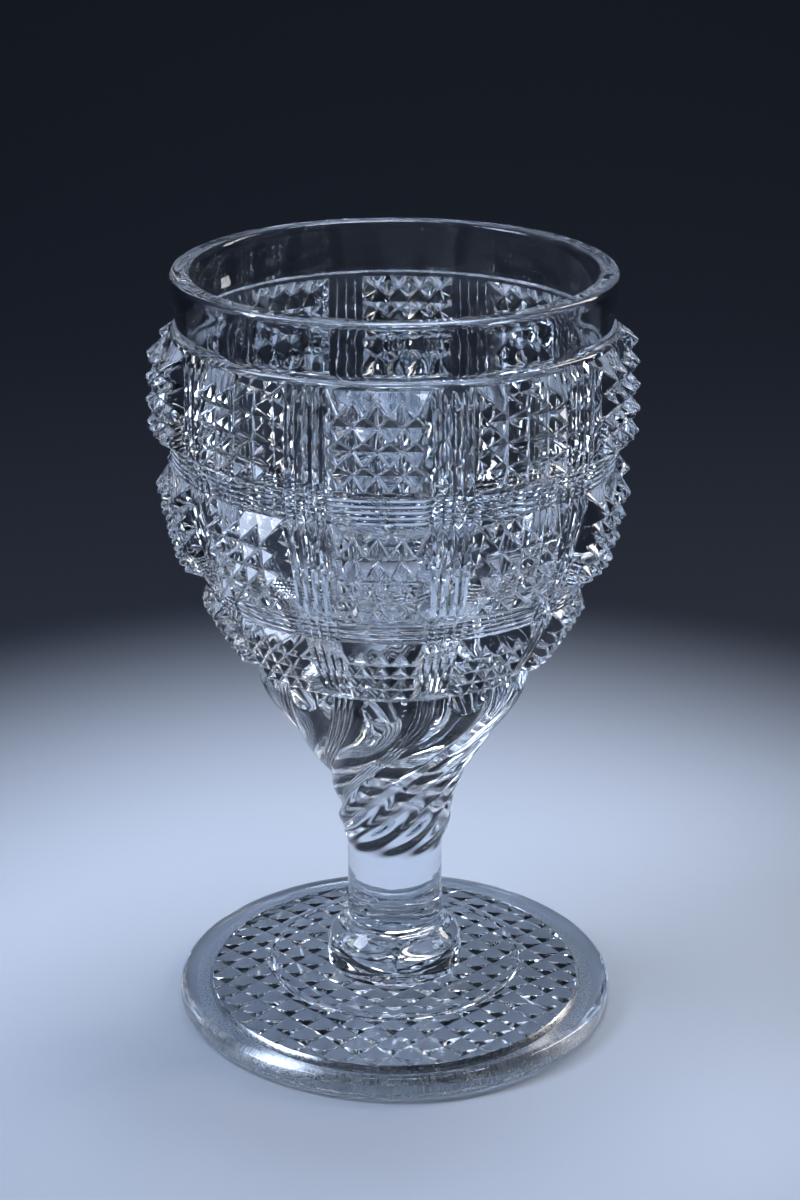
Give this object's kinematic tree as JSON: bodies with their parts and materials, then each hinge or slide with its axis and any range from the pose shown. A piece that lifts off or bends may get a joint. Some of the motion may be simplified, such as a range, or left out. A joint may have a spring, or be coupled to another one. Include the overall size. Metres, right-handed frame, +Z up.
{
  "type": "pressed glass goblet",
  "caption": "Footed drinking glass with a tapered bowl of diamond-point panels and reeding, a twisted stem, a collar and a round foot.",
  "frame": {"origin": "centre of the foot's resting ring, on the table", "axes": "+Z up along the glass's axis to the rim, a diamond panel of the bowl centred on -Y, +X to the right of that panel"},
  "size_m": [0.0908, 0.0918, 0.15],
  "materials": {
    "foot_glass": "fire-polished pressed lead crystal",
    "collar_glass": "fire-polished lead crystal",
    "stem_glass": "fire-polished lead crystal",
    "bowl_glass": "fire-polished pressed lead crystal"
  },
  "bodies": {
    "root": {"foot": "foot_glass", "collar": "collar_glass", "twisted_stem": "stem_glass", "bowl": "bowl_glass"}
  },
  "joints": []
}
